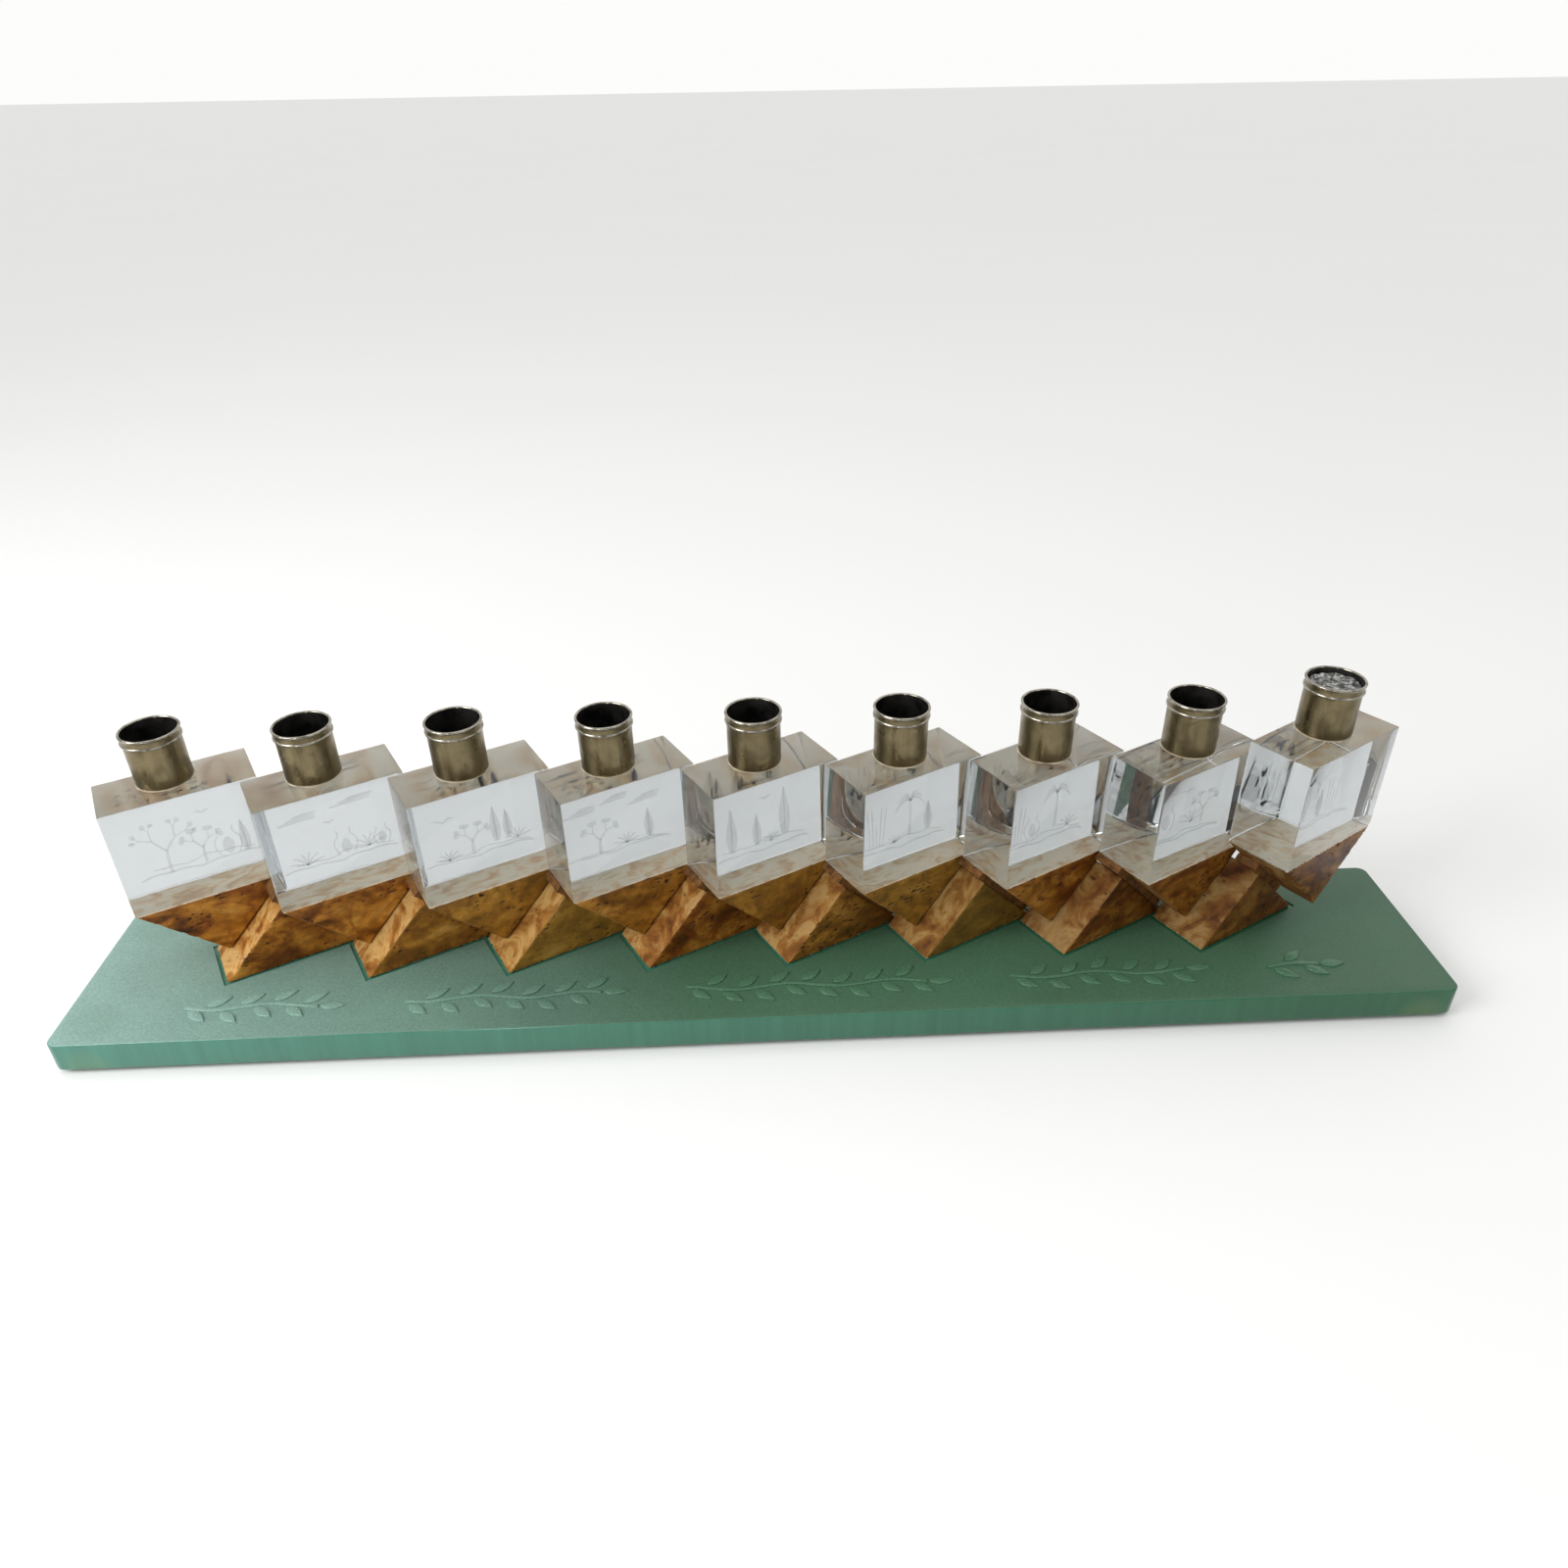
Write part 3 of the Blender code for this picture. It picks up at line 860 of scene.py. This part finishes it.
def block_axes(node):
    """A block's middle, its rightward and inward axes, and its width, depth and height."""
    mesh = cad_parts[node].data
    low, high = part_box(node)
    front = min((p.normal for p in mesh.polygons if abs(p.normal.z) < 0.1),
                key=lambda normal: normal.y)
    right = Vector((-front.y, front.x, 0.0)).normalized()
    reach = [v.co.dot(right) for v in mesh.vertices]
    depth = [v.co.dot(-front) for v in mesh.vertices]
    size = (max(reach) - min(reach), max(depth) - min(depth), high.z - low.z)
    return middle(node), right, -front.normalized(), size


# Etched strokes: each is a list of (x, z, half width) in mm, from the scene's middle foot

def waves(start, end, height, swing, width):
    """A line of ground or far hills."""
    steps = max(4, int((end - start) / 2.5))
    line = []
    for i in range(steps + 1):
        x = start + (end - start) * i / steps
        line.append((x, height + swing * math.sin(x * 0.55 + height) * math.cos(x * 0.21), width))
    return [line]


def branch(x, z, angle, length, width, turns):
    """A bough that forks at its end, down to twigs."""
    mid = (x + length * 0.5 * math.cos(angle + 0.12), z + length * 0.5 * math.sin(angle + 0.12))
    end = (x + length * math.cos(angle), z + length * math.sin(angle))
    strokes = [[(x, z, width), (*mid, width * 0.85), (*end, width * 0.6)]]
    if turns:
        for side in (-1, 1):
            spread = side * (0.42 + 0.08 * turns)
            strokes += branch(*end, angle + spread, length * 0.66, width * 0.62, turns - 1)
    else:
        strokes += [[(end[0] - 0.6, end[1] + dz, 0.28), (end[0] + 0.7, end[1] + dz, 0.28)]
                    for dz in (-0.3, 0.35)]
    return strokes


def tree(x, z, height):
    return branch(x, z, math.radians(88), height * 0.42, 0.55, 3)


def cypress(x, z, height):
    """A narrow evergreen, as upright strokes that meet at the tip."""
    wide = height * 0.12
    strokes = []
    for i in (-1, 1):
        side = i * wide / 2
        strokes.append([(x + side * 0.5, z, 0.5), (x + side, z + height * 0.3, 1.1),
                        (x + side * 0.6, z + height * 0.65, 0.8), (x, z + height, 0.15)])
    return strokes


def palm(x, z, height):
    """A slim trunk with three drooping fronds on each side of the crown."""
    crown = z + height
    strokes = [[(x, z, 0.5), (x + 0.5, z + height * 0.5, 0.4), (x + 0.2, crown, 0.35)]]
    for side in (-1, 1):
        for reach, rise, droop in ((5.0, 2.2, -2.4), (4.0, 3.2, 0.2), (2.2, 3.0, 2.4)):
            strokes.append([
                (x + 0.2, crown, 0.3), (x + 0.2 + side * reach * 0.45, crown + rise, 0.55),
                (x + 0.2 + side * reach, crown + droop, 0.15)])
    return strokes


def bush(x, z, size):
    strokes = []
    for i in range(6):
        angle = math.radians(18 + i * 144 / 5)
        strokes.append([(x, z, 0.22), (x + size * 0.55 * math.cos(angle),
                                       z + size * 0.75 * math.sin(angle), 0.34),
                        (x + size * math.cos(angle), z + size * 0.8 * math.sin(angle), 0.2)])
    return strokes


def cloud(x, z, length):
    strokes = []
    for i in range(3):
        shift = (i - 1) * length * 0.12
        span = length * (0.5 - 0.09 * i)
        strokes.append([(x + shift - span, z + i * 0.75, 0.25), (x + shift, z + i * 0.8 + 0.3, 0.55),
                        (x + shift + span, z + i * 0.75 + 0.2, 0.22)])
    return strokes


def bird(x, z, span):
    return [[(x - span, z + span * 0.35, 0.08), (x - span * 0.45, z + span * 0.5, 0.3),
             (x, z, 0.25), (x + span * 0.5, z + span * 0.55, 0.3), (x + span, z + span * 0.3, 0.08)]]


def jar(x, z, height):
    """A round-bellied jar with a neck."""
    outline = [(0.28, 0.0), (0.46, 0.3), (0.42, 0.6), (0.18, 0.8), (0.28, 1.0)]
    strokes = []
    for side in (-1, 1):
        strokes.append([(x + side * height * w * 0.9, z + height * h, 0.2) for w, h in outline])
    strokes.append([(x, z + 0.4, 0.5), (x, z + height * 0.3, height * 0.3),
                    (x, z + height * 0.62, 0.5)])
    return strokes


def reeds(x, z, height, count):
    strokes = []
    for i in range(count):
        lean = (i - (count - 1) / 2) * 0.5
        tall = height * (0.75 + 0.25 * math.sin(i * 2.1 + 0.6))
        root = x + (i - (count - 1) / 2) * 1.1
        strokes.append([(root, z, 0.14), (root + lean * 0.4, z + tall * 0.6, 0.14),
                        (root + lean, z + tall, 0.26), (root + lean * 1.15, z + tall * 1.12, 0.1)])
    return strokes


SCENES = {
    1: tree(-7.5, 4.5, 17) + tree(1.5, 5.0, 11) + jar(8.0, 5.0, 9) + cypress(12.5, 5, 10)
       + bird(4.0, 20.0, 2.0),
    2: cloud(-8, 20, 10) + cloud(7, 21.5, 11) + bird(-1, 17, 1.7) + bush(-9, 6, 5) + jar(2, 6, 8)
       + bush(8, 6.5, 5) + jar(12, 6, 6),
    3: bird(-9, 18, 3.4) + cypress(5, 8, 11) + cypress(8.5, 8, 9) + bush(11, 7, 4)
       + tree(-2, 6, 10) + bush(-9, 6, 4),
    4: cloud(-10, 20, 9) + cloud(0, 21.5, 8) + cloud(9, 19, 9) + tree(-6, 6, 11)
       + bush(2, 7, 4) + cypress(9, 7, 9),
    5: cypress(-9, 6, 14) + cypress(-1, 6, 10) + cypress(8, 7, 15) + bush(3.5, 6, 3.5)
       + bird(2, 20, 1.8),
    6: reeds(-8, 6, 13, 5) + palm(3, 7, 11) + cypress(9.5, 7, 9) + bush(-2, 6, 3),
    7: reeds(-9, 6, 12, 5) + palm(5, 8, 11) + bush(10, 7, 4) + jar(-3, 7, 7),
    8: jar(-6, 9, 8) + bush(4, 9, 5) + bird(1, 19, 2.4) + tree(8, 8, 10) + cloud(-6, 20, 8),
    9: palm(-5, 8, 11) + reeds(6, 8, 11, 4) + cypress(1, 8, 8),
}


PANEL_THICKNESS = 0.06 * MM
PANEL_MARGIN = 0.35 * MM                # clear rim left round the haze
PANEL_SETBACK = 0.7 * MM                # how far the haze lies behind its scene
PANEL_CORNER = 1.0 * MM


class MENORAH_OT_etchings(bpy.types.Operator):
    """Makes the faint scenes of trees, hills, birds and jars etched inside the blocks"""
    bl_idname = "menorah.etchings"
    bl_label = "Etched Scenes"

    def execute(self, context):
        settings = context.scene.menorah_block
        material = etched_acrylic(settings)
        haze = hazed_acrylic()
        for k, strokes in SCENES.items():
            ground = waves(-15.5, 15.5, 4.2 + 0.4 * k % 2, 0.7, 0.3)
            ground += waves(-12.0, 14.5, 6.6, 1.1, 0.22)
            piece = self.engrave(f"etched_scene_{k}", strokes + ground)
            centre, right, inward, (width, depth, height) = block_axes(f"crystal_block_{k}")
            back = centre + inward * (depth / 2 - settings.etching_depth)
            back.z -= height / 2
            place = Matrix((
                (right.x, inward.x, 0.0, back.x), (right.y, inward.y, 0.0, back.y),
                (0.0, 0.0, 1.0, back.z), (0.0, 0.0, 0.0, 1.0)))
            piece.data.transform(place)
            finish(piece, [material])
            panel = self.hazed_panel(f"hazed_panel_{k}", width, height)
            panel.data.transform(place)
            finish(panel, [haze])
        return {"FINISHED"}

    def hazed_panel(self, name, width, height):
        """A thin layer with rounded corners behind a scene, in the XZ plane."""
        size = Vector((width - 2 * PANEL_MARGIN, PANEL_THICKNESS, height - 2 * PANEL_MARGIN))
        panel = add_box(name, size, (0.0, PANEL_SETBACK, height / 2))
        edit()
        pick("EDGE", lambda e: abs(e.verts[0].co.y - e.verts[1].co.y) > PANEL_THICKNESS / 2)
        bpy.ops.mesh.bevel(offset=PANEL_CORNER, segments=5, affect="EDGES")
        leave_edit()
        return panel

    def engrave(self, name, strokes):
        """All strokes of a scene as one mesh of tapering round lines in the XZ plane."""
        curve = bpy.data.curves.new(name, "CURVE")
        curve.dimensions = "3D"
        curve.bevel_depth = MM
        curve.bevel_resolution = 1
        curve.use_fill_caps = True
        curve.resolution_u = 3
        for number, stroke in enumerate(strokes):
            spline = curve.splines.new("NURBS")
            spline.points.add(len(stroke) - 1)
            layer = (number % 5 - 2) * 0.08 * MM
            for point, (x, z, half_width) in zip(spline.points, stroke):
                point.co = (x * MM, layer, z * MM, 1.0)
                point.radius = half_width
            spline.use_endpoint_u = True
            spline.order_u = 3
        piece = bpy.data.objects.new(name, curve)
        bpy.context.scene.collection.objects.link(piece)
        take(piece)
        bpy.ops.object.convert(target="MESH")
        piece = bpy.context.active_object
        piece.name = name
        piece.data.name = name
        piece.data.shade_smooth()
        return piece


# ---------------------------------------------------------------- cups

CUP_WALL = 0.4 * MM
RIM_REACH = 0.5 * MM                    # how far rim and bead stand out from the body
BAND_REACH = 0.15 * MM                  # how far the band between them does
BEAD_DROP = 2.7 * MM                    # the bead's middle, below the rim
BEAD_HALF = 0.42 * MM
RIM_ROLL = 0.4 * MM


def cup_outline(body, rim, height):
    """From the foot up over body, bead, band and rolled rim, and down the bore to its floor."""
    bead = height - BEAD_DROP
    bore = body - CUP_WALL
    foot = 0.35 * MM
    outline = [(body - 2.5 * foot, 0.0)]
    outline += arc((body - foot, foot), foot, -90, 0, 5)
    outline += [(body, height * share) for share in (0.2, 0.4, 0.6, 0.75)]
    outline += arc((rim - BEAD_HALF, bead), BEAD_HALF, -80, 80, 8)
    outline += [(body + BAND_REACH, bead + BEAD_HALF + 0.15 * MM),
                (body + BAND_REACH, height - 2 * RIM_ROLL - 0.15 * MM)]
    outline += arc((rim - RIM_ROLL, height - RIM_ROLL), RIM_ROLL, -70, 180, 12)
    outline += [(bore, height * share) for share in (0.8, 0.5, 0.2)]
    fillet = 0.7 * MM
    floor = 0.8 * MM
    outline += arc((bore - fillet, floor + fillet), fillet, 0, -90, 5)
    return outline


class MENORAH_OT_cups(bpy.types.Operator):
    """Makes the nine nickel-plated candle cups"""
    bl_idname = "menorah.cups"
    bl_label = "Candle Cups"

    def execute(self, context):
        settings = context.scene.menorah_cup
        low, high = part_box("candle_cup_1")
        rim = half_width("candle_cup_1")
        body = rim - RIM_REACH
        height = high.z - low.z
        pattern = turned("cup_pattern", cup_outline(body, rim, height), settings.sides)
        for face in pattern.data.polygons:
            centre = face.center
            radius = math.hypot(centre.x, centre.y)
            inside = face.normal.dot(Vector((centre.x, centre.y, 0.0))) < -1e-6 * MM or (
                radius < body - CUP_WALL and centre.z > 0.5 * MM)
            on_bead = abs(centre.z - height + BEAD_DROP) < BEAD_HALF
            trim = on_bead or centre.z > height - 2 * RIM_ROLL - 0.1 * MM
            face.material_index = 2 if inside and centre.z < height - RIM_ROLL else int(trim)
        materials = [satin_nickel(settings), bright_nickel(settings), sooty_nickel()]
        for k in range(1, LIGHTS + 1):
            node = f"candle_cup_{k}"
            cup = copy_moved(pattern, f"nickel_cup_{k}", foot_of(node))
            smooth(cup, 50.0)
            finish(cup, materials, node)
        bpy.data.objects.remove(pattern, do_unlink=True)
        return {"FINISHED"}


class MENORAH_OT_glue(bpy.types.Operator):
    """Makes the thin rings of glue squeezed out under the cups"""
    bl_idname = "menorah.glue"
    bl_label = "Glue Rings"

    def execute(self, context):
        radius = half_width("candle_cup_1") - RIM_REACH
        thick = 0.9 * GAP
        outline = [(radius * 0.8, 0.0), (radius + 0.1 * MM, 0.0), (radius + 0.2 * MM, 0.3 * thick),
                   (radius, 0.8 * thick), (radius - 0.4 * MM, thick)]
        pattern = turned("glue_pattern", outline, 64)
        material = dried_glue()
        for k in range(1, LIGHTS + 1):
            place = foot_of(f"candle_cup_{k}")
            place.z -= 0.95 * GAP
            ring = copy_moved(pattern, f"glue_ring_{k}", (0.0, 0.0, 0.0))
            for vertex in ring.data.vertices:
                angle = math.atan2(vertex.co.y, vertex.co.x)
                wobble = noise.noise(Vector((2 * math.cos(angle), 2 * math.sin(angle), k)))
                reach = 1.0 + 0.035 * wobble
                vertex.co.x *= reach
                vertex.co.y *= reach
            ring.data.transform(Matrix.Translation(place))
            smooth(ring, 60.0)
            finish(ring, [material])
        bpy.data.objects.remove(pattern, do_unlink=True)
        return {"FINISHED"}


class MENORAH_OT_wax(bpy.types.Operator):
    """Makes the burnt-out wax that fills the ninth cup"""
    bl_idname = "menorah.wax"
    bl_label = "Old Wax"

    def execute(self, context):
        low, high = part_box("wax_residue")
        radius = half_width("wax_residue")
        top = high.z - low.z
        rings = 22
        outline = [(radius * 0.9, 0.0), (radius, 0.3 * MM), (radius, top * 0.5),
                   (radius, top - 0.4 * MM)]
        for i in range(rings):
            share = 1.0 - i / rings
            outline.append((radius * (0.03 + 0.95 * share), top - 0.55 * MM * (1.0 - share * share)))
        wax = turned("old_wax", outline, 96)
        for vertex in wax.data.vertices:
            if vertex.co.z > top - 1.2 * MM:
                place = vertex.co / (1.6 * MM)
                crinkle = noise.fractal(place, 0.7, 2.1, 4)
                vertex.co.z -= 0.25 * MM + 0.35 * MM * min(0.7, max(-0.7, crinkle))
        wax.data.transform(Matrix.Translation(foot_of("wax_residue")))
        smooth(wax, 80.0)
        finish(wax, [sooty_wax()], "wax_residue")
        return {"FINISHED"}


# ---------------------------------------------------------------- stage

CAMERA_PLACE = Vector((-1.03, -269.43, 235.69)) * MM
CAMERA_TURN = [math.radians(a) for a in (58.319, 0.869, -2.388)]
FLOOR_SIZE = 60.0                       # metres across, so that it reaches the horizon

# Each light: name, place, aim, width, height, watts
LAMPS = [
    ("key", (-0.66, -0.34, 0.52), (-0.05, 0.0, 0.04), 0.45, 0.45, 5.5),
    ("strip", (-0.30, -0.95, 0.22), (0.0, 0.0, 0.08), 0.10, 0.60, 1.2),
    ("window", (0.75, -0.75, 0.55), (0.0, 0.0, 0.06), 0.25, 0.45, 0.7),
]
SKY_BEHIND = 0.24                       # the sky's strength behind the camera; ahead it is 1
SKY_ABOVE = 1.45                        # the same overhead


class MENORAH_OT_stage(bpy.types.Operator):
    """Sets the pale floor, the soft lights and the camera"""
    bl_idname = "menorah.stage"
    bl_label = "Stage"

    def execute(self, context):
        settings = context.scene.menorah_stage
        self.add_floor(settings)
        for name, place, aim, width, height, watts in LAMPS:
            self.add_lamp(name, Vector(place), Vector(aim), width, height, watts)
        self.add_world(context.scene)
        self.add_camera(context.scene, settings)
        context.scene.view_settings.view_transform = "Standard"
        return {"FINISHED"}

    def add_floor(self, settings):
        floor = primitive("floor", bpy.ops.mesh.primitive_plane_add, size=FLOOR_SIZE)
        m, shader = start_material("matt_paper", Roughness=0.9)
        fibre = noise_at(m, object_place(m), Scale=3.0)
        feed(m, shader, Base_Color=ramp(m, fibre, (0.3, scaled(settings.floor, 0.99)),
                                        (0.7, settings.floor)))
        floor.data.materials.append(m)

    def add_lamp(self, name, place, aim, width, height, watts):
        light = bpy.data.lights.new(name, "AREA")
        light.shape = "RECTANGLE"
        light.size = width
        light.size_y = height
        light.energy = watts
        lamp = bpy.data.objects.new(name, light)
        lamp.location = place
        lamp.rotation_euler = (aim - place).to_track_quat("-Z", "Y").to_euler()
        bpy.context.scene.collection.objects.link(lamp)

    def add_world(self, scene):
        """A pale sky all round, dimmer low down on the near side, where the room is."""
        world = bpy.data.worlds.new("soft_studio")
        world.use_nodes = True
        background = world.node_tree.nodes["Background"]
        background.inputs["Color"].default_value = as_colour("#fdfdfc")
        toward = add_node(world, "ShaderNodeTexCoord").outputs["Generated"]
        split = add_node(world, "ShaderNodeSeparateXYZ", {"Vector": toward})
        behind = spread(world, split.outputs["Y"], SKY_BEHIND, 1.0, -0.6, 0.05,
                        interpolation_type="SMOOTHSTEP")
        above = spread(world, split.outputs["Z"], 0.0, SKY_ABOVE, 0.55, 0.9,
                       interpolation_type="SMOOTHSTEP")
        world.node_tree.links.new(maths(world, "MAXIMUM", behind, above),
                                  background.inputs["Strength"])
        scene.world = world

    def add_camera(self, scene, settings):
        data = bpy.data.cameras.new("camera")
        data.lens = settings.lens
        data.sensor_width = 36.0
        data.clip_start = 0.01
        camera = bpy.data.objects.new("camera", data)
        camera.location = CAMERA_PLACE
        camera.rotation_euler = CAMERA_TURN
        scene.collection.objects.link(camera)
        scene.camera = camera


# ---------------------------------------------------------------- panel and registration

STEPS = (
    MENORAH_OT_plate,
    MENORAH_OT_feet,
    MENORAH_OT_lower_wedges,
    MENORAH_OT_upper_wedges,
    MENORAH_OT_mortar,
    MENORAH_OT_blocks,
    MENORAH_OT_etchings,
    MENORAH_OT_cups,
    MENORAH_OT_glue,
    MENORAH_OT_wax,
    MENORAH_OT_stage,
)


class MENORAH_PT_pieces(bpy.types.Panel):
    """Lists the menorah's pieces"""
    bl_idname = "MENORAH_PT_pieces"
    bl_label = "Menorah"
    bl_space_type = "VIEW_3D"
    bl_region_type = "UI"
    bl_category = "Menorah"

    def draw(self, context):
        for step in STEPS:
            self.layout.operator(step.bl_idname)
        for name in SETTINGS:
            group = getattr(context.scene, name)
            box = self.layout.box()
            for prop in group.bl_rna.properties:
                if prop.identifier not in {"rna_type", "name"}:
                    box.prop(group, prop.identifier)


SETTINGS = {
    "menorah_stone": StoneSettings,
    "menorah_block": BlockSettings,
    "menorah_plate": PlateSettings,
    "menorah_cup": CupSettings,
    "menorah_stage": StageSettings,
}
CLASSES = (*SETTINGS.values(), *STEPS, MENORAH_PT_pieces)


def register():
    for cls in CLASSES:
        bpy.utils.register_class(cls)
    for name, group in SETTINGS.items():
        setattr(bpy.types.Scene, name, PointerProperty(type=group))


def unregister():
    for name in SETTINGS:
        delattr(bpy.types.Scene, name)
    for cls in reversed(CLASSES):
        bpy.utils.unregister_class(cls)


def main():
    register()
    for step in STEPS:
        category, name = step.bl_idname.split(".")
        getattr(getattr(bpy.ops, category), name)()


if __name__ == "__main__":
    main()
